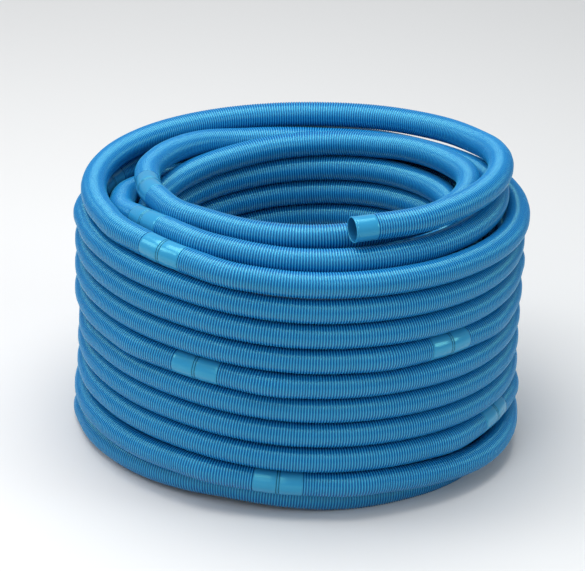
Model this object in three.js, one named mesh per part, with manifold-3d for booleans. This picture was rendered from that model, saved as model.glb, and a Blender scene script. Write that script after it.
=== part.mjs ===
// Sectional pool vacuum hose, lying free in one roll. The corrugated hose carries a smooth double cuff every
// section, with a double ring where it can be cut, and a single cuff at each end of the roll.
//
// Millimetres, +Z up. The origin is on the floor, under the middle of the roll; the front is -Y. The hose is followed from
// the end cuff that lies on top, counter-clockwise seen from above: once round the top, down the outer wall, up
// between the walls, round the top again and down the inner wall. Places along it are counted in turns from the
// front, and across the roll in pitches, the distance between two turns that lie on each other.
import * as THREE from 'three';
import { mergeVertices } from 'three/addons/utils/BufferGeometryUtils.js';
import Module from 'manifold-3d';

// ---- Driving dimensions ------------------------------------------------------------------------------------
const HOSE_OD = 36.2;             // over the ribs
const RIB_PITCH = 3.7;
const RIB_DEPTH = 1.3;
const HOSE_WALL = 0.8;            // under the ribs
const HOSE_BORE = HOSE_OD - 2 * (RIB_DEPTH + HOSE_WALL);
const SECTION_LENGTH = 1500;      // from one cut mark to the next
const CUFF_LENGTH = 33;           // one cuff; a double cuff is two, end to end
const CUFF_WALL = 1.6;
const CUFF_BORE = HOSE_BORE;
const CUFF_OD = CUFF_BORE + 2 * CUFF_WALL;
const MARK_SPREAD = 1.7;          // from the middle of a double cuff to each of its two grooves
const MARK_WIDTH = 1.8;           // a groove's width
const MARK_DEPTH = 0.8;
const ROLL_DIAMETER = 627.3;      // over the outer wall
const ROLL_SHIFT = 1.5;           // of the outer wall to the right, at half height
const ROLL_LEAN = -0.37;          // degrees, to the right
const TURN_GAP = 0.9;             // between turns that lie on each other
const LAYER_GAP = 7.2;            // between the outer wall and the middle layer
const INNER_GAP = 3.5;            // between the middle layer and the inner wall
const SEAT_GAP = 0.3;             // between a cuff and the hose
const OUTER_LEVELS = 10;          // turns on each other in the outer wall
const HIDDEN_TURNS = 3;           // from the foot of the outer wall to the top again, between the walls
const HIDDEN_SECTIONS = 3;
const FOOT_CUFF_TURN = 9.7;       // where the last cuff of the outer wall lies, low down behind its left side
const INNER_TOP = 8.43;           // the inner wall's first turn over the floor, at the right, in pitches
const INNER_END = 11.85;          // turns that the inner wall may take, its last one on the floor
const TOP_CUFF_TURN = -0.154;     // where the cuff on the returning strand lies, in turns from the front
const LIFT_RUN = 400;             // length over which the end on the floor rises, so that its round cuff rests
const RIBS_SHOWN = 50;            // next to the free end; the rest of the hose is drawn plain
const RIBS_PER_BORE_RING = 5;
const STEPS_PER_TURN = 24;
const CORD_SIDES = 6;
const RIB_SIDES = 8;
const CUFF_SIDES = 12;

const PITCH = HOSE_OD + TURN_GAP;
const FLOOR_FLAT = HOSE_OD / 10;  // how far the hose is pressed flat where it lies on the floor
const WALL_RADIUS = (ROLL_DIAMETER - HOSE_OD) / 2;
const MIDDLE_INSET = (HOSE_OD + LAYER_GAP) / PITCH, INNER_INSET = MIDDLE_INSET + (HOSE_OD + INNER_GAP) / PITCH;

// How far a turn has come down, in pitches, against the angle from the front in degrees. The outer wall steps
// down at the front, the inner one at the back.
const OUTER_DESCENT = [[-18, -.13], [0, 0], [27, .08], [57, .235], [90, .37], [150, .85], [180, .97], [215, 1],
  [250, .96], [285, .81], [303, .735], [323, .75], [342, .87], [360, 1], [387, 1.08]];
const INNER_DESCENT = [[60, .07], [90, 0], [137, .36], [183, .87], [214, 1.19], [248, 1.38], [300, 1.38], [360, 1.3],
  [450, 1], [497, 1.36]];

// The strands that lie loose on top: [turns, inset from the outer wall, height over the floor turn], both in pitches.
// The other tables give an inset, a drop or, for the foot, an inset and a height, in the same way.
const FREE_STRAND = [[.044, 1.07, 10.62], [.088, 1.04, 10.62], [.16, .82, 10.61], [.25, .55, 10.5], [.29, .53, 10.26],
  [.33, .42, 9.88], [.37, .29, 9.6], [.417, .23, 9.34], [.5, .27, 9.06]];
const RETURN_STRAND = [[-.5, 1.08, 7.03], [-.42, 1.08, 7.24], [-.333, 1.1, 7.68], [-.29, 1.15, 8.05],
  [-.25, 1.26, 8.43], [-.22, 1.27, 8.73], [-.18, 1.27, 9.07], [-.14, 1.22, 9.49], [-.1, 1.15, 9.55],
  [-.058, 1.07, 9.54], [0, .95, 9.48], [.086, .87, 9.46], [.25, .67, 9.44], [.29, .79, 9.26], [.33, .93, 8.98],
  [.42, 1.02, 8.55], [.5, 1.08, 8.33], [.55, 1.21, 8.42], [.6, 1.38, 8.71], [.667, 1.8, 9.03], [.72, 2.12, 9.26],
  [.78, 2.16, 9.53], [.82, 2.2, 9.63], [.86, 2.26, 9.75], [.9, 2.25, 9.83], [.942, 2.17, 9.87], [1, 2.05, 9.92],
  [1.1, 1.97, 9.96], [1.25, 1.69, 9.76], [1.32, 1.88, 9.44], [1.386, 2.03, 9.14]];
const MIDDLE_TURNS = [[10.5, MIDDLE_INSET], [12.1, MIDDLE_INSET], [12.5, 1.08]];
const INNER_TURNS = [[1.42, 2.08], [1.5, 2.19], [1.6, 2.33], [1.75, 2.29], [2, 2.22], [3, INNER_INSET],
  [10.2, INNER_INSET], [10.3, 2.4], [10.38, 2.72], [10.45, 3.1], [10.5, 3.26], [10.55, 3.34], [11.2, 3.37],
  [11.3, 3.5], [11.38, 3.83], [11.45, 4.21], [11.5, 4.37], [11.55, 4.45], [11.9, 4.46]];
const OUTER_INSET = [[.5, .27], [.57, .33], [.64, .25], [.7, .2], [.82, .22], [.86, .17], [.9, .12], [.94, .05],
  [1, 0], [1.13, 0], [1.22, -.15], [1.3, -.15], [1.4, 0], [4.9, 0], [5.3, .04], [5.75, .11], [6.2, .04], [6.75, .12],
  [7.2, .04], [7.75, .1], [8.1, 0], [9.04, 0], [9.1, -.12], [9.16, -.27], [9.2, -.2], [9.25, -.05], [9.33, 0],
  [9.64, 0], [9.7, .02]];
const OUTER_DROP = [[8.71, 0], [8.77, .08], [8.87, .1], [8.94, 0], [9.04, 0], [9.12, .08], [9.18, .14], [9.25, .1],
  [9.33, 0], [9.66, 0], [9.75, .09]];
const FOOT = [[9.767, .07, .04], [9.808, .14, .12], [9.831, .21, .17], [9.873, .34, .21], [9.91, .46, .27],
  [9.9475, .63, .3], [10, .64, .17], [10.03, .66, .07], [10.06, .7, 0], [10.09, .68, 0], [10.12, .6, 0],
  [10.16, .55, 0], [10.2, .68, 0], [10.25, .86, 0], [10.33, 1.02, 0], [10.42, 1.1, 0], [10.5, MIDDLE_INSET, 0]];

/** A smooth curve through [x, y, ...] points that never overshoots them; column picks the y. */
function smooth(points, column = 1) {
  const x = points.map(p => p[0]), y = points.map(p => p[column]);
  const rise = x.slice(1).map((v, i) => (y[i + 1] - y[i]) / (v - x[i]));
  const slope = x.map((_, i) => {
    if (i === 0 || i === x.length - 1) return rise[Math.min(i, rise.length - 1)];
    const [a, b] = [rise[i - 1], rise[i]];
    return a * b <= 0 ? 0 : 2 * a * b / (a + b);
  });
  return v => {
    let i = 0, end = x.length - 1;
    while (end - i > 1) { const mid = (i + end) >> 1; if (x[mid] <= v) i = mid; else end = mid; }
    const w = x[i + 1] - x[i], t = THREE.MathUtils.clamp((v - x[i]) / w, 0, 1);
    return y[i] * (1 + 2 * t) * (1 - t) ** 2 + slope[i] * w * t * (1 - t) ** 2
      + y[i + 1] * t * t * (3 - 2 * t) - slope[i + 1] * w * t * t * (1 - t);
  };
}

// ---- The route ---------------------------------------------------------------------------------------------
const outerDescent = smooth(OUTER_DESCENT), outerInset = smooth(OUTER_INSET), outerDrop = smooth(OUTER_DROP);
const middleInset = smooth(MIDDLE_TURNS), innerDescent = smooth(INNER_DESCENT), innerInset = smooth(INNER_TURNS);
const TOP = OUTER_LEVELS + HIDDEN_TURNS;   // the turn at which the returning strand passes the front

function outerLevel(turn) {
  const n = Math.floor(turn);
  return Math.max(0, OUTER_LEVELS - n - outerDescent((turn - n) * 360) - outerDrop(turn));
}
function innerLevel(turn) {
  const n = Math.floor(turn - .25);
  return INNER_TOP + 2 - n - innerDescent((turn - n) * 360);
}

/** Every station of the route as [turns, inset, level]. */
function stations() {
  const list = [...FREE_STRAND];
  const step = .02, deeper = OUTER_LEVELS - 10;   // the tables are for an outer wall of ten
  for (let t = .54; t < FOOT[0][0] + deeper - step / 2; t += step) list.push([t, outerInset(t), outerLevel(t)]);
  for (const [t, inset, level] of FOOT) list.push([t + deeper, inset, level]);
  const climb = list.at(-1)[0], top = TOP + RETURN_STRAND[0][0];
  for (let t = climb + .05; t < top - .04; t += .05)
    list.push([t, middleInset(t - deeper), (RETURN_STRAND[0][2] + deeper) * (t - climb) / (top - climb)]);
  for (const [t, inset, level] of RETURN_STRAND) list.push([TOP + t, inset, level + deeper]);
  for (let t = 1.42; t < INNER_END + .3; t += step) {
    list.push([TOP + t, innerInset(t), Math.max(0, innerLevel(t) + deeper)]);
  }
  return list;
}

const route = stations();
const insetAt = smooth(route, 1), levelAt = smooth(route, 2);
const middle = OUTER_LEVELS * PITCH / 2;

/** The middle of the hose after so many turns, lifted as a round cuff needs at the inner wall's end. */
function place(turn, lift = 0) {
  const angle = turn * 2 * Math.PI, radius = WALL_RADIUS - insetAt(turn) * PITCH;
  const z = HOSE_OD / 2 + levelAt(turn) * PITCH;
  const lean = ROLL_SHIFT + (z - middle) * Math.tan(THREE.MathUtils.degToRad(ROLL_LEAN));
  return new THREE.Vector3(radius * Math.sin(angle) + lean, -radius * Math.cos(angle), z - FLOOR_FLAT + lift);
}

// Length along the route against turns.
const START = FREE_STRAND[0][0], FINE = 1 / 360;
const lengths = [[START, 0]];
for (let t = START + FINE, last = place(START); t < TOP + INNER_END; t += FINE) {
  const here = place(t);
  lengths.push([t, lengths.at(-1)[1] + here.distanceTo(last)]);
  last = here;
}
const lengthAt = smooth(lengths), turnAt = smooth(lengths.map(([t, s]) => [s, t]));
const LIFT = CUFF_OD / 2 - (HOSE_OD / 2 - FLOOR_FLAT);
let routeEnd = Infinity;
const along = s => place(turnAt(s), LIFT * THREE.MathUtils.smoothstep(s, routeEnd - LIFT_RUN, routeEnd - 2 * CUFF_LENGTH));

// The cut marks. Sections run whole down the outer wall, but for the one that ends at its foot, and down the inner
// one; those between the walls share the way that is left.
const hiddenStart = lengthAt(OUTER_LEVELS - 10 + FOOT_CUFF_TURN), hiddenEnd = lengthAt(TOP + TOP_CUFF_TURN);
const marks = Array.from({ length: Math.round(hiddenStart / SECTION_LENGTH) }, (_, k) => k * SECTION_LENGTH);
marks.push(hiddenStart);
for (let k = 1; k <= HIDDEN_SECTIONS; k++)
  marks.push(THREE.MathUtils.mapLinear(k, 0, HIDDEN_SECTIONS, hiddenStart, hiddenEnd));
while (marks.at(-1) + SECTION_LENGTH < lengths.at(-1)[1]) marks.push(marks.at(-1) + SECTION_LENGTH);
routeEnd = marks.at(-1);

// ---- Solids ------------------------------------------------------------------------------------------------
const wasm = await Module();
wasm.setup();

function toSolid(geometry) {
  const bare = geometry.clone();
  bare.deleteAttribute('normal');
  bare.deleteAttribute('uv');
  const merged = mergeVertices(bare, 1e-4);
  return new wasm.Manifold(new wasm.Mesh({
    numProp: 3, vertProperties: Float32Array.from(merged.attributes.position.array), triVerts: Uint32Array.from(merged.index.array),
  }));
}
function fromSolid(solid) {
  const { vertProperties, triVerts, numProp } = solid.getMesh();
  const position = new Float32Array(vertProperties.length / numProp * 3);
  for (let i = 0; i < position.length / 3; i++) for (let k = 0; k < 3; k++) position[3 * i + k] = vertProperties[numProp * i + k];
  const geometry = new THREE.BufferGeometry();
  geometry.setAttribute('position', new THREE.BufferAttribute(position, 3));
  geometry.setIndex(new THREE.BufferAttribute(Uint32Array.from(triVerts), 1));
  return geometry.toNonIndexed();
}
const floor = toSolid(new THREE.BoxGeometry(2 * ROLL_DIAMETER, 2 * ROLL_DIAMETER, ROLL_DIAMETER).translate(0, 0, -ROLL_DIAMETER / 2));
/** The shape with what is under the floor pressed flat. */
function onFloor(geometry) {
  geometry.computeBoundingBox();
  return geometry.boundingBox.min.z < 0 ? fromSolid(toSolid(geometry).subtract(floor)) : geometry;
}

/** One ring of a tube: points on a circle, one of them straight up, square to the way the tube runs. */
function ring({ at, way, radius }, sides) {
  const side = new THREE.Vector3().crossVectors(way, THREE.Object3D.DEFAULT_UP.clone().set(0, 0, 1)).normalize();
  const up = new THREE.Vector3().crossVectors(side, way).normalize();
  return Array.from({ length: sides }, (_, j) => {
    const a = 2 * Math.PI * j / sides;
    return at.clone().addScaledVector(up, radius * Math.cos(a)).addScaledVector(side, radius * Math.sin(a));
  });
}

/** A closed tube through the rings outside, and back through the rings of a bore if it has one. With a skin radius,
 *  it yields to the floor and its wall stays as thick as it is. */
function tube(outside, sides, bore, skin) {
  const rings = outside.map(r => ring(r, sides));
  if (bore) rings.push(...bore.slice().reverse().map(r => ring(r, sides)));
  if (skin) [...outside, ...bore.slice().reverse()].forEach(({ radius }, i) => {
    for (const point of rings[i]) point.z = Math.max(point.z, skin - radius);
  });
  const points = rings.flat(), faces = [], count = rings.length;
  for (let i = 0; i < (bore ? count : count - 1); i++) for (let j = 0; j < sides; j++) {
    const a = i * sides + j, b = i * sides + (j + 1) % sides, next = (i + 1) % count;
    const c = next * sides + (j + 1) % sides, d = next * sides + j;
    faces.push(a, b, c, a, c, d);
  }
  if (!bore) for (let j = 1; j < sides - 1; j++) {
    const end = (count - 1) * sides;
    faces.push(0, j + 1, j, end, end + j, end + j + 1);
  }
  const geometry = new THREE.BufferGeometry().setFromPoints(points);
  geometry.setIndex(faces);
  return geometry;
}

/** The bends of one section: its first and last steps run straight for one diameter, in line with its cuffs. */
const RUN = CUFF_LENGTH + SEAT_GAP + HOSE_OD;
function bends(from, to) {
  const span = (turnAt(to) - turnAt(from)) * STEPS_PER_TURN, steps = Math.max(2, Math.round(span));
  const inner = Array.from({ length: steps + 1 }, (_, i) => along(THREE.MathUtils.mapLinear(i, 0, steps, from + RUN, to - RUN)));
  for (const at of inner.slice(1, -1)) {   // half of what a straight step cuts off its arc
    const outward = (1 / Math.cos(Math.PI * (span / STEPS_PER_TURN) / steps) - 1) / 2;
    at.x += at.x * outward;
    at.y += at.y * outward;
  }
  return [along(from), ...inner, along(to)];
}

/** Rings along a line of bends, each square to the way its two steps share. */
function follow(line, radius) {
  return line.map((at, i) => {
    const back = i ? at.clone().sub(line[i - 1]).normalize() : null;
    const on = i < line.length - 1 ? line[i + 1].clone().sub(at).normalize() : null;
    const way = (back && on ? back.clone().add(on) : back ?? on).clone().normalize();
    return { at, way, radius };
  });
}

/** A length of hose between two marks, drawn as a plain cord. */
function plainSection(line) {
  const seat = CUFF_LENGTH + SEAT_GAP, n = line.length;
  const cut = [...line];
  cut[0] = line[0].clone().addScaledVector(line[1].clone().sub(line[0]).normalize(), seat);
  cut[n - 1] = line[n - 1].clone().addScaledVector(line[n - 2].clone().sub(line[n - 1]).normalize(), seat);
  return tube(follow(cut, HOSE_OD / 2), CORD_SIDES);
}

/** The section at the free end, with its bore all through and its ribs next to the end cuff. */
function ribbedSection(line) {
  const seat = CUFF_LENGTH + SEAT_GAP, crest = HOSE_OD / 2, root = crest - RIB_DEPTH, bore = HOSE_BORE / 2;
  const path = new THREE.CurvePath();
  for (let i = 1; i < line.length; i++) path.add(new THREE.LineCurve3(line[i - 1], line[i]));
  const total = path.getLength(), starts = path.getCurveLengths();
  const frames = follow(line, crest);
  /** A ring at a distance, turned smoothly from one bend to the next. */
  const at = (d, radius) => {
    let i = starts.findIndex(s => s > d);
    if (i < 0) i = line.length - 2;
    const t = (d - (i ? starts[i - 1] : 0)) / line[i].distanceTo(line[i + 1]);
    const straight = i === 0 || i === line.length - 2;
    const step = line[i + 1].clone().sub(line[i]).normalize();
    const way = straight && (i === 0 ? t < .9 : t > .1) ? step : frames[i].way.clone().lerp(frames[i + 1].way, t).normalize();
    return { at: line[i].clone().lerp(line[i + 1], t), way, radius };
  };
  const outside = [], inside = [];
  for (let i = 0; i <= RIBS_SHOWN; i++) {
    const d = seat + i * RIB_PITCH;
    if (i % RIBS_PER_BORE_RING === 0) inside.push(at(d, bore));
    if (i < RIBS_SHOWN) outside.push(at(d, i ? root : crest), at(d + RIB_PITCH / 2, crest));
    else outside.push(at(d, crest));
  }
  const ribbed = seat + RIBS_SHOWN * RIB_PITCH;
  for (let i = 1; i < line.length - 1; i++) if (starts[i - 1] > ribbed + HOSE_OD / 2) {
    outside.push({ ...frames[i], radius: crest });
    inside.push({ ...frames[i], radius: bore });
  }
  outside.push(at(total - seat, crest));
  inside.push(at(total - seat, bore));
  return tube(outside, RIB_SIDES, inside);
}

/** A smooth cuff on either side of a cut mark, bent as the hose is there, and pressed flat where it lies on the floor. */
function doubleCuff(before, mark, after) {
  const into = mark.clone().sub(before).normalize(), on = after.clone().sub(mark).normalize();
  const arc = new THREE.QuadraticBezierCurve3(mark.clone().addScaledVector(into, -CUFF_LENGTH), mark, mark.clone().addScaledVector(on, CUFF_LENGTH));
  const at = (x, radius) => {
    const t = (x + CUFF_LENGTH) / (2 * CUFF_LENGTH);
    return { at: arc.getPoint(t), way: arc.getTangent(t), radius };
  };
  const skin = CUFF_OD / 2, groove = skin - MARK_DEPTH, half = MARK_WIDTH / 2;
  const outside = [at(-CUFF_LENGTH, skin), at(-MARK_SPREAD - half, skin), at(-MARK_SPREAD, groove), at(0, skin),
    at(MARK_SPREAD, groove), at(MARK_SPREAD + half, skin), at(CUFF_LENGTH, skin)];
  const inside = [-CUFF_LENGTH, 0, CUFF_LENGTH].map(x => at(x, CUFF_BORE / 2));
  return tube(outside, CUFF_SIDES, inside, skin);
}

/** The single cuff at an end of the hose, with its bore; the line comes out of it towards the hose. */
const RIM = 1;                     // the rounding of its mouth
function endCuff(mouth, hose) {
  const way = hose.clone().sub(mouth).normalize();
  const at = (x, radius) => ({ at: mouth.clone().addScaledVector(way, x), way, radius });
  const skin = CUFF_OD / 2, bore = CUFF_BORE / 2;
  return tube([at(0, skin - RIM / 2), at(RIM, skin), at(CUFF_LENGTH, skin)], 2 * CUFF_SIDES, [at(0, bore), at(CUFF_LENGTH, bore)]);
}

// ---- The roll ----------------------------------------------------------------------------------------------
const ribbedBlue = new THREE.MeshStandardMaterial({ color: 0x1b86c8, roughness: 0.42, metalness: 0 });
const cuffBlue = new THREE.MeshStandardMaterial({ color: 0x3fa0cc, roughness: 0.35, metalness: 0 });
const roll = new THREE.Group();
roll.name = 'pool_vacuum_hose_roll';
function add(name, geometry, material) {
  const shape = onFloor(geometry);
  shape.computeVertexNormals();
  const mesh = new THREE.Mesh(shape, material);
  mesh.name = name;
  roll.add(mesh);
}

const two = n => String(n).padStart(2, '0');
const lines = marks.slice(1).map((to, k) => bends(marks[k], to));
add('end_cuff_top', endCuff(lines[0][0], lines[0][1]), cuffBlue);
lines.forEach((line, k) => {
  add(`hose_section_${two(k + 1)}`, k ? plainSection(line) : ribbedSection(line), ribbedBlue);
  const next = lines[k + 1];
  if (next) add(`double_cuff_${two(k + 1)}`, doubleCuff(line.at(-2), line.at(-1), next[1]), cuffBlue);
});
add('end_cuff_floor', endCuff(lines.at(-1).at(-1), lines.at(-1).at(-2)), cuffBlue);

// The roll is built about its axis, and then set with the middle of its footprint on the origin.
const footprint = new THREE.Box3().setFromObject(roll).getCenter(new THREE.Vector3());
roll.position.set(-footprint.x, -footprint.y, 0);

/** The least gap between parts of the hose that are more than half a section apart, on points every few mm. */
function leastGap(step = 6) {
  const points = [];
  let s = 0;
  for (const line of lines) for (let i = 1; i < line.length; i++) {
    const n = Math.ceil(line[i - 1].distanceTo(line[i]) / step);
    for (let k = 0; k < n; k++) points.push(line[i - 1].clone().lerp(line[i], k / n));
  }
  let least = Infinity;
  const apart = Math.round(SECTION_LENGTH / 2 / step);
  for (let i = 0; i < points.length; i++) for (let j = i + apart; j < points.length; j++) {
    const a = points[i], b = points[j];
    if (Math.abs(a.z - b.z) < least && Math.abs(a.x - b.x) < least && Math.abs(a.y - b.y) < least) {
      const d = a.distanceTo(b);
      if (d < least) { least = d; s = i * step; }
    }
  }
  return { gap: least - HOSE_OD, at: s };
}
const { gap, at } = leastGap();
console.log(`${lines.length} sections, ${((routeEnd) / 1000).toFixed(2)} m in ${(turnAt(routeEnd) - START).toFixed(2)} turns; `
  + `least gap between turns ${gap.toFixed(2)} mm, ${(at / 1000).toFixed(1)} m from the free end`);

export default roll;
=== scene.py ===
"""The sectional pool vacuum hose, lying free in one roll, dressed for the render.

Metres, +Z up, in the CAD part's own frame. The route of the hose repeats the part's own tables. Places along it
are counted in turns from the front, counter-clockwise seen from above. Heights, and distances inwards from the
outer wall, are in pitches, the distance between two turns that lie on each other.
"""
import math

import bpy
import numpy as np
from mathutils import Matrix, Vector


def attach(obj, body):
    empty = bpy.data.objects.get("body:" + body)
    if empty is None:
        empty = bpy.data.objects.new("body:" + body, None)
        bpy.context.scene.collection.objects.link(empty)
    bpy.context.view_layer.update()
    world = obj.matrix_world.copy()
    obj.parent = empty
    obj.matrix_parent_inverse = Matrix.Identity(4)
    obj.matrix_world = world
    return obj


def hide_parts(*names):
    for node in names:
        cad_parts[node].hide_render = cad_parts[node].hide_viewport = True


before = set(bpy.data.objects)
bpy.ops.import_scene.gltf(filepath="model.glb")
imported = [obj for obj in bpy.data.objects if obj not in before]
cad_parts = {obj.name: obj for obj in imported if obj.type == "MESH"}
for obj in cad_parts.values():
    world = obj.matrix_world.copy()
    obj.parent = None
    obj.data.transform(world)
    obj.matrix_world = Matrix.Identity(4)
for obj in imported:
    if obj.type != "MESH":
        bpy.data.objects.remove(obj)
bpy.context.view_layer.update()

# ---- Sizes, in metres --------------------------------------------------------------------------------------
HOSE_OD = 0.0362
HOSE_BORE = 0.032
RIB_PITCH = 0.00373
RIB_DEPTH = 0.0013
SHOULDER_DEPTH = 0.00036
SECTION_LENGTH = 1.5
CUFF_LENGTH = 0.033                 # one sleeve: a double cuff has two
CUFF_OD = 0.0352
CUFF_BORE = 0.032
MARK_SPREAD, MARK_WIDTH, MARK_DEPTH = 0.0017, 0.0018, 0.0009      # the two grooves of a cut mark
SEAT_GAP = 0.0003
SEAT = CUFF_LENGTH + SEAT_GAP       # from a cut mark to the first rib
TURN_GAP, LAYER_GAP, INNER_GAP = 0.0009, 0.0072, 0.0035
PITCH = HOSE_OD + TURN_GAP
ROLL_DIAMETER = 0.6273
WALL_RADIUS = (ROLL_DIAMETER - HOSE_OD) / 2
ROLL_SHIFT = 0.0015
ROLL_LEAN = math.radians(-.37)
MIDDLE_OF_ROLL = -0.003739          # the roll's axis, seen from the middle of its footprint
FLOOR_FLAT = HOSE_OD / 10           # the lowest turn is pressed flat by this
LIFT_RUN = 0.4                      # the end on the floor rises over this length, until its round cuff rests
LIFT = CUFF_OD / 2 - (HOSE_OD / 2 - FLOOR_FLAT)

# Outer edge of a sleeve: lengths before its end, and how far below its outside.
CUFF_EDGE = ((.004, 0), (.0009, 0), (.0003, .0003), (0, .0008))
# Mouth of an end cuff, from its bore round to its outside: how far from the mouth, and how far outside the bore
# or, for the bead, over the sleeve's outside.
MOUTH_LIP = ((.0004, .0001), (0, .0005))
MOUTH_BEAD = ((0, -.0005), (.0003, 0), (.0009, .0004), (.0022, .0004), (.0029, .0002), (.0032, -.0002),
              (.0036, -.0003), (.0041, -.0001), (.0046, 0), (.0056, 0))
MOUTH_BORE = 0.0012                 # from here back the bore is straight
# One side of a mark's groove: a length less a share of the half width, and how deep it is there.
MARK_FALL = ((-.0002, 1, 0), (.0003, 1, .12), (0, .35, .9))

# ---- Counts and tables of the route, in turns and pitches --------------------------------------------------
OUTER_LEVELS = 10                   # turns of the outer wall
OUTER_START = .54                   # from here the outer wall follows its own tables
FOOT_CUFF_TURN = 9.7                # the last cuff that shows at the foot
HIDDEN_SECTIONS = 3                 # of one length, from there to the first cuff on the returning strand
TOP = 13                            # the returning strand and the inner wall are counted from this turn
TOP_CUFF_TURN = -.154               # the first cuff on the returning strand, from there
INNER_START = 1.42                  # from here the inner wall follows its own tables
INNER_TOP = 8.43                    # its level at the right, near the end of its first round
INNER_END = 11.85                   # the hose ends with the last whole section before this
PAST_THE_END = .3                   # how much further the stations go
WALL_STEP, CLIMB_STEP = .02, .05    # from one station to the next
MIDDLE_INSET = (HOSE_OD + LAYER_GAP) / PITCH
INNER_INSET = MIDDLE_INSET + (HOSE_OD + INNER_GAP) / PITCH

# How far each turn comes down on its way round: degrees from the front, pitches.
OUTER_DESCENT = [(-18, -.13), (0, 0), (27, .08), (57, .235), (90, .37), (150, .85), (180, .97), (215, 1),
                 (250, .96), (285, .81), (303, .735), (323, .75), (342, .87), (360, 1), (387, 1.08)]
INNER_DESCENT = [(60, .07), (90, 0), (137, .36), (183, .87), (214, 1.19), (248, 1.38), (300, 1.38), (360, 1.3),
                 (450, 1), (497, 1.36)]
# Turn, inset and level of the strands that lie loose on the roll.
FREE_STRAND = [(.044, 1.07, 10.62), (.088, 1.04, 10.62), (.16, .82, 10.61), (.25, .55, 10.5), (.29, .53, 10.26),
               (.33, .42, 9.88), (.37, .29, 9.6), (.417, .23, 9.34), (.5, .27, 9.06)]
RETURN_STRAND = [(-.5, 1.08, 7.03), (-.42, 1.08, 7.24), (-.333, 1.1, 7.68), (-.29, 1.15, 8.05), (-.25, 1.26, 8.43),
                 (-.22, 1.27, 8.73), (-.18, 1.27, 9.07), (-.14, 1.22, 9.49), (-.1, 1.15, 9.55), (-.058, 1.07, 9.54),
                 (0, .95, 9.48), (.086, .87, 9.46), (.25, .67, 9.44), (.29, .79, 9.26), (.33, .93, 8.98),
                 (.42, 1.02, 8.55), (.5, 1.08, 8.33), (.55, 1.21, 8.42), (.6, 1.38, 8.71), (.667, 1.8, 9.03),
                 (.72, 2.12, 9.26), (.78, 2.16, 9.53), (.82, 2.2, 9.63), (.86, 2.26, 9.75), (.9, 2.25, 9.83),
                 (.942, 2.17, 9.87), (1, 2.05, 9.92), (1.1, 1.97, 9.96), (1.25, 1.69, 9.76), (1.32, 1.88, 9.44),
                 (1.386, 2.03, 9.14)]
# Turn and inset between the walls, of the inner wall and of the outer one.
MIDDLE_TURNS = [(10.5, MIDDLE_INSET), (12.1, MIDDLE_INSET), (12.5, 1.08)]
INNER_TURNS = [(INNER_START, 2.08), (1.5, 2.19), (1.6, 2.33), (1.75, 2.29), (2, 2.22),
               (3, INNER_INSET), (10.2, INNER_INSET), (10.3, 2.4), (10.38, 2.72), (10.45, 3.1), (10.5, 3.26),
               (10.55, 3.34), (11.2, 3.37), (11.3, 3.5), (11.38, 3.83), (11.45, 4.21), (11.5, 4.37), (11.55, 4.45),
               (11.9, 4.46)]
OUTER_INSET = [(.5, .27), (.57, .33), (.64, .25), (.7, .2), (.82, .22), (.86, .17), (.9, .12), (.94, .05), (1, 0),
               (1.13, 0), (1.22, -.15), (1.3, -.15), (1.4, 0), (4.9, 0), (5.3, .04), (5.75, .11), (6.2, .04),
               (6.75, .12), (7.2, .04), (7.75, .1), (8.1, 0), (9.04, 0), (9.1, -.12), (9.16, -.27), (9.2, -.2),
               (9.25, -.05), (9.33, 0), (9.64, 0), (9.7, .02)]
# Turn, and how far the outer wall sags there under its regular descent.
OUTER_DROP = [(8.71, 0), (8.77, .08), (8.87, .1), (8.94, 0), (9.04, 0), (9.12, .08), (9.18, .14), (9.25, .1),
              (9.33, 0), (9.66, 0), (9.75, .09)]
# Turn, inset and level of the foot, where the hose passes under the wall to its inside.
FOOT = [(9.767, .07, .04), (9.808, .14, .12), (9.831, .21, .17), (9.873, .34, .21), (9.91, .46, .27),
        (9.9475, .63, .3), (10, .64, .17), (10.03, .66, .07), (10.06, .7, 0), (10.09, .68, 0), (10.12, .6, 0),
        (10.16, .55, 0), (10.2, .68, 0), (10.25, .86, 0), (10.33, 1.02, 0), (10.42, 1.1, 0),
        (10.5, MIDDLE_INSET, 0)]


# ---- The route ---------------------------------------------------------------------------------------------
def smooth(points, column=1):
    """A smooth curve through the points that never overshoots them: a cubic between each two, whose slope at a
    point is the harmonic mean of the rises on its two sides, or level where they differ in sign."""
    x = np.array([p[0] for p in points], float)
    y = np.array([p[column] for p in points], float)
    width = np.diff(x)
    rise = np.diff(y) / width
    slope = np.empty_like(x)
    slope[0], slope[-1] = rise[0], rise[-1]
    a, b = rise[:-1], rise[1:]
    turn = a * b <= 0
    slope[1:-1] = np.where(turn, 0, 2 * a * b / np.where(turn, 1, a + b))

    def at(v):
        v = np.asarray(v, float)
        i = np.clip(np.searchsorted(x, v, side="right") - 1, 0, len(width) - 1)
        t = np.clip((v - x[i]) / width[i], 0, 1)
        return (y[i] * (1 + 2 * t) * (1 - t) ** 2 + slope[i] * width[i] * t * (1 - t) ** 2
                + y[i + 1] * t * t * (3 - 2 * t) - slope[i + 1] * width[i] * t * t * (1 - t))
    return at


def ease(v):
    """A smooth rise from 0 to 1 as the value goes from 0 to 1, and level outside."""
    t = np.clip(v, 0, 1)
    return t * t * (3 - 2 * t)


outer_descent, outer_inset, outer_drop = map(smooth, (OUTER_DESCENT, OUTER_INSET, OUTER_DROP))
middle_inset, inner_descent, inner_inset = map(smooth, (MIDDLE_TURNS, INNER_DESCENT, INNER_TURNS))


def outer_level(turn):
    """Height of the outer wall's turn over the floor turn: one lower on every round."""
    n = math.floor(turn)
    return max(0, OUTER_LEVELS - n - float(outer_descent((turn - n) * 360)) - float(outer_drop(turn)))


def inner_level(turn):
    """The same for the inner wall, which steps down at the back."""
    n = math.floor(turn - .25)
    return max(0, INNER_TOP + 2 - n - float(inner_descent((turn - n) * 360)))


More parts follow.
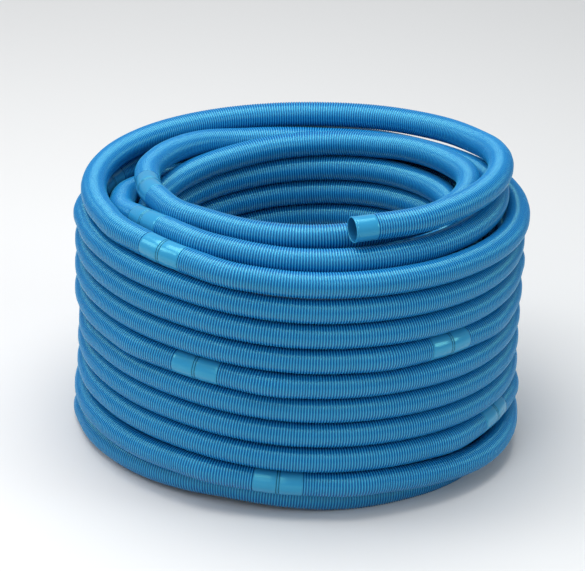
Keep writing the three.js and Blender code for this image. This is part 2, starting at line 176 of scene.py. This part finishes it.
def steps(start, end, step):
    """Places from the start on, a step apart, short of the end."""
    while start < end:
        yield start
        start += step


def stations():
    """Every station of the route as turn, inset and level: the free strand, the outer wall, its foot, the climb
    between the walls, the strands that return over the top, and the inner wall."""
    rows = list(FREE_STRAND)
    for t in steps(OUTER_START, FOOT[0][0] - WALL_STEP / 2, WALL_STEP):
        rows.append((t, float(outer_inset(t)), outer_level(t)))
    rows += FOOT
    foot, top = FOOT[-1][0], TOP + RETURN_STRAND[0][0]
    for t in steps(foot + CLIMB_STEP, top - CLIMB_STEP / 2, CLIMB_STEP):
        rows.append((t, float(middle_inset(t)), RETURN_STRAND[0][2] * (t - foot) / (top - foot)))
    rows += [(TOP + turn, inset, level) for turn, inset, level in RETURN_STRAND]
    for t in steps(INNER_START, INNER_END + PAST_THE_END, WALL_STEP):
        rows.append((TOP + t, float(inner_inset(t)), inner_level(t)))
    return rows


ROUTE = stations()
inset_at, level_at = smooth(ROUTE, 1), smooth(ROUTE, 2)


def place(turn, lift=0):
    """The middle of the hose after so many turns: a circle about the roll's axis, drawn in by the inset and raised
    by the level, the whole leaning a little."""
    angle, radius = turn * 2 * math.pi, WALL_RADIUS - inset_at(turn) * PITCH
    z = HOSE_OD / 2 + level_at(turn) * PITCH
    lean = ROLL_SHIFT + (z - OUTER_LEVELS * PITCH / 2) * math.tan(ROLL_LEAN)
    x = radius * np.sin(angle) + lean + MIDDLE_OF_ROLL
    return np.stack([x, -radius * np.cos(angle), z - FLOOR_FLAT + lift], -1)


# The route's turns at every half degree, and its length up to each.
HALF_DEGREE = 1 / 720
FINE = np.arange(FREE_STRAND[0][0], TOP + INNER_END, HALF_DEGREE)
RUN_LENGTH = np.concatenate([[0], np.cumsum(np.linalg.norm(np.diff(place(FINE), axis=0), axis=1))])


def cut_marks():
    """Lengths of the cut marks: whole sections down each wall, but for the one that ends at the foot, and equal
    ones in the way that is left between the walls."""
    foot, top = np.interp((FOOT_CUFF_TURN, TOP + TOP_CUFF_TURN), FINE, RUN_LENGTH).tolist()
    marks = [k * SECTION_LENGTH for k in range(round(foot / SECTION_LENGTH))]
    marks += list(np.linspace(foot, top, HIDDEN_SECTIONS + 1))
    while marks[-1] + SECTION_LENGTH < RUN_LENGTH[-1]:
        marks.append(marks[-1] + SECTION_LENGTH)
    return marks


MARKS = cut_marks()
SECTIONS = len(MARKS) - 1


def along(s):
    """The middle of the hose at a length from the free end, with the rise of the end on the floor."""
    risen = ease((np.asarray(s) - (MARKS[-1] - LIFT_RUN)) / (LIFT_RUN - 2 * CUFF_LENGTH))
    return place(np.interp(s, RUN_LENGTH, FINE), LIFT * risen)


def unit(v):
    return v / np.linalg.norm(v, axis=-1, keepdims=True)


# The straight run from a mark aims at the route a cuff and one diameter on. The hose leaves it for the route from
# EASE_FROM on, over the length EASE_OVER.
STRAIGHT = SEAT + HOSE_OD
EASE_FROM, EASE_OVER = .6 * STRAIGHT, 1.6 * STRAIGHT


def section_line(k, step=.002):
    """The centreline of a section from mark to mark, which eases from the straight run at each end into the
    route."""
    a, b = MARKS[k], MARKS[k + 1]
    s = np.linspace(a, b, int((b - a) / step) + 1)
    line = along(s)
    for mark, sign in ((a, 1), (b, -1)):
        d = (s - mark) * sign
        start, way = along(mark), unit(along(mark + sign * STRAIGHT) - along(mark))
        keep = 1 - ease((d - EASE_FROM) / EASE_OVER)[:, None]
        near = start + d[:, None] * way
        line = np.where(keep > 0, near * keep + line * (1 - keep), line)
    return line


class Centreline:
    """A line of points with its length, and the place and direction at any length of it."""

    def __init__(self, points):
        self.points = points
        self.length = np.concatenate([[0], np.cumsum(np.linalg.norm(np.diff(points, axis=0), axis=1))])
        self.way = unit(np.gradient(points, self.length, axis=0))

    def at(self, s):
        where = np.stack([np.interp(s, self.length, self.points[:, i]) for i in range(3)], -1)
        return where, unit(np.stack([np.interp(s, self.length, self.way[:, i]) for i in range(3)], -1))


# ---- Surfaces ----------------------------------------------------------------------------------------------
HOSE_SIDES, CUFF_SIDES, END_SIDES = 18, 40, 80
BORE_STEP = .012
CUFF_RINGS, END_RINGS = 9, 6        # along the bore of a double cuff and of an end cuff
CUFF_POINTS = 67                    # of a double cuff's centreline
END_POINTS = 40                     # of a section's line: more of it than its end cuff takes
PLAIN_FROM = .012                   # a ring on the plain part of a sleeve, this far from its mark or mouth
LINING = HOSE_BORE / 2 + .0002      # what lies within this radius lines the bore


def mesh_of(name, points, faces, uv, inside):
    """An object at the origin from arrays of points and four-sided faces, with a UV map, and with those faces that
    line the bore in its second material, a darker blue that paints shade there."""
    mesh = bpy.data.meshes.new(name)
    mesh.from_pydata(points.tolist(), [], faces.tolist())
    mesh.polygons.foreach_set("use_smooth", np.ones(len(mesh.polygons), bool))
    mesh.polygons.foreach_set("material_index", inside.astype(np.int32))
    layer = mesh.uv_layers.new(name="along")
    layer.data.foreach_set("uv", uv[faces.reshape(-1)].astype(np.float32).reshape(-1))
    mesh.update()
    piece = bpy.data.objects.new(name, mesh)
    bpy.context.scene.collection.objects.link(piece)
    return piece


def shell(name, line, profile, sides, floor=False, ribs=(0, RIB_PITCH)):
    """A profile of (length, radius) points carried round the centreline and closed on itself. Each point becomes a
    ring square to the line, and each ring joins the next, the last one the first. With floor, what would be under
    the floor is pressed flat. One unit of the UV map's u is a rib: ribs gives where they start and how long one is.
    """
    s, radius = profile[:, 0], profile[:, 1]
    where, way = line.at(s)
    side = unit(np.cross(way, (0, 0, 1)))
    up = np.cross(side, way)
    turn = np.arange(sides) * 2 * math.pi / sides
    ring = up[:, None] * np.cos(turn)[None, :, None] + side[:, None] * np.sin(turn)[None, :, None]
    points = where[:, None] + radius[:, None, None] * ring
    if floor:
        points[..., 2] = np.maximum(points[..., 2], (radius.max() - radius)[:, None])
    i, j = np.meshgrid(np.arange(len(s)), np.arange(sides), indexing="ij")
    after, beside = (i + 1) % len(s), (j + 1) % sides
    corners = [i * sides + j, i * sides + beside, after * sides + beside, after * sides + j]
    faces = np.stack(corners, -1).reshape(-1, 4)
    uv = np.stack([np.repeat((s - ribs[0]) / ribs[1], sides), np.tile(turn / (2 * math.pi), len(s))], -1)
    inside = (radius < LINING) & (np.roll(radius, -1) < LINING)
    return mesh_of(name, points.reshape(-1, 3), faces, uv, np.repeat(inside, sides))


def ribbed(start, end, pitch):
    """The outside of a corrugated wall: rounded crests, and narrow grooves between them. Per rib, one point in the
    groove, one on each shoulder and one on the crest."""
    count = round((end - start) / pitch)
    beat = np.array([0, .22, .5, .78])
    depth = np.array([RIB_DEPTH, SHOULDER_DEPTH, 0, SHOULDER_DEPTH])
    s = (start + pitch * (np.arange(count)[:, None] + beat)).reshape(-1)
    r = HOSE_OD / 2 - np.tile(depth, count)
    return np.column_stack([np.append(s, end), np.append(r, HOSE_OD / 2 - RIB_DEPTH)])


def bore(start, end):
    """The inside of the hose, from its far end back."""
    s = np.linspace(end, start, max(2, int((end - start) / BORE_STEP)))
    return np.column_stack([s, np.full_like(s, HOSE_BORE / 2)])


def cuff_edge(end):
    """The rounded outer edge of a sleeve that ends there."""
    return [(end - back, CUFF_OD / 2 - below) for back, below in CUFF_EDGE]


def double_cuff_profile():
    """Two smooth sleeves end to end: rounded edges, a groove on either side of a narrow ridge in the middle, and
    the bore back again. Lengths are from the start of the cuff."""
    half, r, w = CUFF_LENGTH, CUFF_OD / 2, MARK_WIDTH / 2
    after = [(PLAIN_FROM, r)] + cuff_edge(half)
    before = [(-x, radius) for x, radius in reversed(after)]
    falling = [(length - w * share, depth) for length, share, depth in MARK_FALL]
    groove = falling + [(0, 1)] + [(-x, depth) for x, depth in reversed(falling)]
    marks = [(middle + x, r - MARK_DEPTH * depth) for middle in (-MARK_SPREAD, MARK_SPREAD) for x, depth in groove]
    back = [(x, CUFF_BORE / 2) for x in np.linspace(half, -half, CUFF_RINGS)]
    return np.array(before + marks + after + back) + (half, 0)


def cuff_line(k):
    """The line of a double cuff: a curve that leaves along each section's straight run and bends at the mark."""
    before = lines[k].at(lines[k].length[-1] - CUFF_LENGTH)[0]
    mark = along(MARKS[k + 1])
    after = lines[k + 1].at(CUFF_LENGTH)[0]
    t = np.linspace(0, 1, CUFF_POINTS)[:, None]
    return Centreline((1 - t) ** 2 * before + 2 * t * (1 - t) * mark + t * t * after)


def end_cuff_profile():
    """A single smooth sleeve: a rounded lip with a bead at the mouth, and the bore back to it. Lengths are from the
    mouth."""
    r, b = CUFF_OD / 2, CUFF_BORE / 2
    lip = [(x, b + over) for x, over in MOUTH_LIP] + [(x, r + over) for x, over in MOUTH_BEAD]
    back = [(x, b) for x in np.linspace(CUFF_LENGTH, MOUTH_BORE, END_RINGS)]
    return np.array(lip + [(PLAIN_FROM, r)] + cuff_edge(CUFF_LENGTH) + back)


# ---- The pieces --------------------------------------------------------------------------------------------
hose, lines = [], []
for k in range(SECTIONS):
    line = Centreline(section_line(k))
    lines.append(line)
    end = line.length[-1] - SEAT
    pitch = (end - SEAT) / round((end - SEAT) / RIB_PITCH)
    profile = np.vstack([ribbed(SEAT, end, pitch), bore(SEAT, end)])
    hose.append(shell(f"ribbed_hose_{k + 1:02d}", line, profile, HOSE_SIDES, floor=True, ribs=(SEAT, pitch)))

cuffs = [shell(f"smooth_cuff_{k + 1:02d}", cuff_line(k), double_cuff_profile(), CUFF_SIDES, floor=True)
         for k in range(SECTIONS - 1)]
free_end = Centreline(lines[0].points[:END_POINTS])
floor_end = Centreline(lines[-1].points[::-1][:END_POINTS])
top_cuff = shell("free_end_cuff", free_end, end_cuff_profile(), END_SIDES)
floor_cuff = shell("floor_end_cuff", floor_end, end_cuff_profile(), END_SIDES, floor=True)


# ---- Finishes ----------------------------------------------------------------------------------------------
# Base colours are in linear light. A finish has two, and wanders between them.
HOSE_BLUES = (.002, .132, .46), (.005, .162, .54)
CUFF_BLUES = (.024, .245, .49), (.034, .285, .54)
# Painted shade: the bore's blues are darker than the outside's.
SHADE_PAINTED_BORE_COLOURS = (.005, .11, .28), (.008, .13, .33)
# A painted highlight: the pale blue along the crest of each rib.
PAINTED_CREST_HIGHLIGHT = (.044, .40, .60)
SHEEN = (.30, 1, .85)
GLOSS = .9
WANDER_NOISE, SCUFF_NOISE, GRAIN_NOISE = (9, 3), (45, 5), (700, 2)      # scale and detail
SCUFF_ROUGHNESS = -.05, .09         # from the least scuffed to the most, on top of a finish's own
GRAIN_STRENGTH, GRAIN_DEPTH = .06, .0004
# Where one blue gives way to the next, in ribs from the middle of a groove, and how dark a groove is. On the ribs
# this paints a highlight on the crests and shade in the grooves.
CREST_HIGHLIGHT_EDGES, PAINTED_SHADE_EDGES, PAINTED_SHADE_IN_GROOVES = (.3, .5), (.06, .30), .52
MARK_EDGES, MARK_SHADE = (.10, .27), .45
MIX_FACTOR, MIX_LOW, MIX_HIGH, MIX_RESULT = 0, 6, 7, 2      # a Mix node's sockets for colours


class Finish:
    """A material with one Principled shader, and the kinds of node that these finishes need."""

    def __init__(self, name):
        self.material = bpy.data.materials.new(name)
        self.material.use_nodes = True
        self.tree = self.material.node_tree
        self.tree.nodes.clear()
        out = self.tree.nodes.new("ShaderNodeOutputMaterial")
        self.shader = self.tree.nodes.new("ShaderNodeBsdfPrincipled")
        self.tree.links.new(self.shader.outputs[0], out.inputs[0])

    def feed(self, node, inputs):
        """Gives inputs of a node their values: a link from another node, a colour or a number."""
        for key, value in inputs.items():
            if isinstance(value, bpy.types.NodeSocket):
                self.tree.links.new(value, node.inputs[key])
            else:
                node.inputs[key].default_value = (*value, 1) if isinstance(value, tuple) else value

    def node(self, kind, inputs, **settings):
        node = self.tree.nodes.new(kind)
        for name, value in settings.items():
            setattr(node, name, value)
        self.feed(node, inputs)
        return node.outputs

    def mix(self, factor, low, high):
        inputs = {MIX_FACTOR: factor, MIX_LOW: low, MIX_HIGH: high}
        return self.node("ShaderNodeMix", inputs, data_type="RGBA")[MIX_RESULT]

    def calculate(self, operation, *values):
        return self.node("ShaderNodeMath", dict(enumerate(values)), operation=operation)[0]

    def rising(self, value, start, end):
        """A smooth step from 0 to 1 between two values."""
        inputs = {"Value": value, "From Min": start, "From Max": end}
        return self.node("ShaderNodeMapRange", inputs, interpolation_type="SMOOTHSTEP")[0]

    def clouds(self, scale, detail):
        where = self.node("ShaderNodeTexCoord", {})["Object"]
        return self.node("ShaderNodeTexNoise", {"Vector": where, "Scale": scale, "Detail": detail})["Fac"]

    def ribs_along(self):
        """The UV map's u: ribs from the first one's groove, or from the start of the cuff."""
        uv = self.node("ShaderNodeUVMap", {}, uv_map="along")[0]
        return self.node("ShaderNodeSeparateXYZ", {0: uv})[0]


def deeper(colour, share):
    return tuple(part * share for part in colour)


def rib_highlight_and_shade_paint(finish, colour, shade):
    """Painted highlights, a paler blue on the crests half way between the grooves, and painted shade, a deeper blue
    in the grooves, which lie at each whole rib.
    """
    distance = finish.calculate("PINGPONG", finish.ribs_along(), .5)
    colour = finish.mix(finish.rising(distance, *CREST_HIGHLIGHT_EDGES), colour, PAINTED_CREST_HIGHLIGHT)
    return finish.mix(finish.rising(distance, *PAINTED_SHADE_EDGES), deeper(shade, PAINTED_SHADE_IN_GROOVES), colour)


def mark_blues(finish, colour, shade):
    """The two grooves of a cut mark, a deeper blue: one on either side of the middle of the double cuff."""
    distance = finish.ribs_along()
    for middle in (CUFF_LENGTH, MARK_SPREAD):
        distance = finish.calculate("ABSOLUTE", finish.calculate("SUBTRACT", distance, middle / RIB_PITCH))
    return finish.mix(finish.rising(distance, *MARK_EDGES), deeper(shade, MARK_SHADE), colour)


def glossy_blue(name, blues, rough, marks_and_painted_light=None):
    """Glossy blown plastic: its blue wanders a little along the hose, and fine scuffs dull its gloss in places."""
    finish = Finish(name)
    colour = finish.mix(finish.clouds(*WANDER_NOISE), *blues)
    # On the ribs this paints highlights on the crests and shade in the grooves; on a double cuff it darkens the
    # grooves of its cut marks.
    if marks_and_painted_light:
        colour = marks_and_painted_light(finish, colour, blues[0])
    least, most = (rough + more for more in SCUFF_ROUGHNESS)
    scuffs = {"Value": finish.clouds(*SCUFF_NOISE), "To Min": least, "To Max": most}
    grain = {"Height": finish.clouds(*GRAIN_NOISE), "Strength": GRAIN_STRENGTH, "Distance": GRAIN_DEPTH}
    finish.feed(finish.shader, {
        "Base Color": colour,
        "Roughness": finish.node("ShaderNodeMapRange", scuffs)[0],
        "Normal": finish.node("ShaderNodeBump", grain)[0],
        "Specular IOR Level": GLOSS,
        "Specular Tint": SHEEN,
    })
    return finish.material


PAINTED_LIGHT_RIBBED_FINISH = glossy_blue("ribbed hose with painted highlight and shade", HOSE_BLUES, rough=.23, marks_and_painted_light=rib_highlight_and_shade_paint)
CUFF_PLASTIC = glossy_blue("smooth cuff plastic", CUFF_BLUES, rough=.19, marks_and_painted_light=mark_blues)
END_PLASTIC = glossy_blue("end cuff plastic", CUFF_BLUES, rough=.17)
# The bore's finish: painted shade, a darker blue inside the hose and cuffs.
SHADE_PAINTED_BORE_FINISH = glossy_blue("bore plastic in painted shade", SHADE_PAINTED_BORE_COLOURS, rough=.38)


def dress(piece, outside):
    """Gives a piece its finishes, for its outside and its bore, and its body."""
    piece.data.materials.append(outside)
    piece.data.materials.append(SHADE_PAINTED_BORE_FINISH)
    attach(piece, "root")


for k, piece in enumerate(hose):
    dress(piece, PAINTED_LIGHT_RIBBED_FINISH)
    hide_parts(f"hose_section_{k + 1:02d}")
for k, piece in enumerate(cuffs):
    dress(piece, CUFF_PLASTIC)
    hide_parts(f"double_cuff_{k + 1:02d}")
for piece, node in ((top_cuff, "end_cuff_top"), (floor_cuff, "end_cuff_floor")):
    dress(piece, END_PLASTIC)
    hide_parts(node)

# Each section runs from the cuff where it starts to the cuff where it ends: its path, and those cuffs.
PATH_POINTS = 120
for k, piece in enumerate(hose):
    path = lines[k].at(np.linspace(SEAT, lines[k].length[-1] - SEAT, PATH_POINTS))[0]
    ends = [top_cuff] if k == 0 else []
    ends.append(cuffs[k] if k < SECTIONS - 1 else floor_cuff)
    tuple(path[0])


# ---- Floor, light and camera -------------------------------------------------------------------------------
FLOOR_HALF = 14
# Soft boxes: where each stands, where it points, its size across and its power in watts.
LAMPS = [
    ("soft box above", (-.35, .1, 2.6), (-.15, 0, 0), 2.5, 70),
    ("soft box above the front", (-.8, -2.0, 2.5), (0, 0, .2), 1.5, 11),
    ("soft box in front", (-1.3, -3.4, 1.6), (0, 0, .2), 2.4, 15.5),
    ("soft box at the left", (-3.0, -.3, 2.4), (0, 0, .2), 1.5, 22),
    ("soft box at the right", (3.0, -.8, 1.7), (0, 0, .2), 1.5, 22, (.85, .97, 1)),
]
AMBIENT, AMBIENT_STRENGTH = (.90, .93, .96), .37
CAMERA_AT = (MIDDLE_OF_ROLL, -5.059, 2.581 - FLOOR_FLAT)
CAMERA_YAW, CAMERA_DOWN, CAMERA_ROLL = .079, 25.09, 2             # degrees
CAMERA_LENS, CAMERA_SENSOR, CAMERA_REACH = 244.8, 36, 60


def studio_floor():
    mesh = bpy.data.meshes.new("studio floor")
    corners = [(x * FLOOR_HALF, y * FLOOR_HALF, 0) for x, y in ((-1, -1), (1, -1), (1, 1), (-1, 1))]
    mesh.from_pydata(corners, [], [(0, 1, 2, 3)])
    floor = bpy.data.objects.new("studio_floor", mesh)
    bpy.context.scene.collection.objects.link(floor)
    finish = Finish("pale floor")
    finish.feed(finish.shader, {"Base Color": (.72, .72, .72), "Roughness": .75, "Specular IOR Level": .15})
    mesh.materials.append(finish.material)


def lamp(name, at, look, size, watts, colour=(1, 1, 1)):
    data = bpy.data.lights.new(name, "AREA")
    data.shape, data.size, data.energy, data.color = "DISK", size, watts, colour
    thing = bpy.data.objects.new(name, data)
    thing.location = at
    thing.rotation_euler = (Vector(look) - Vector(at)).to_track_quat("-Z", "Y").to_euler()
    bpy.context.scene.collection.objects.link(thing)


def ambient():
    world = bpy.data.worlds.new("studio")
    world.use_nodes = True
    background = world.node_tree.nodes["Background"]
    background.inputs["Color"].default_value = (*AMBIENT, 1)
    background.inputs["Strength"].default_value = AMBIENT_STRENGTH
    bpy.context.scene.world = world


def camera():
    """The camera stands in front of the roll, 5.6 m away, and looks down on it through a long lens. It leans by 2
    degrees, as the photograph does."""
    data = bpy.data.cameras.new("camera")
    data.sensor_fit, data.sensor_width = "HORIZONTAL", CAMERA_SENSOR
    data.lens, data.clip_end = CAMERA_LENS, CAMERA_REACH
    thing = bpy.data.objects.new("camera", data)
    thing.location = CAMERA_AT
    aim = Matrix.Identity(3)
    for degrees, axis in ((CAMERA_YAW, "Z"), (90 - CAMERA_DOWN, "X"), (CAMERA_ROLL, "Z")):
        aim = aim @ Matrix.Rotation(math.radians(degrees), 3, axis)
    thing.rotation_euler = aim.to_euler()
    bpy.context.scene.collection.objects.link(thing)
    bpy.context.scene.camera = thing


studio_floor()
for setting in LAMPS:
    lamp(*setting)
ambient()
camera()
bpy.context.scene.view_settings.view_transform = "Standard"
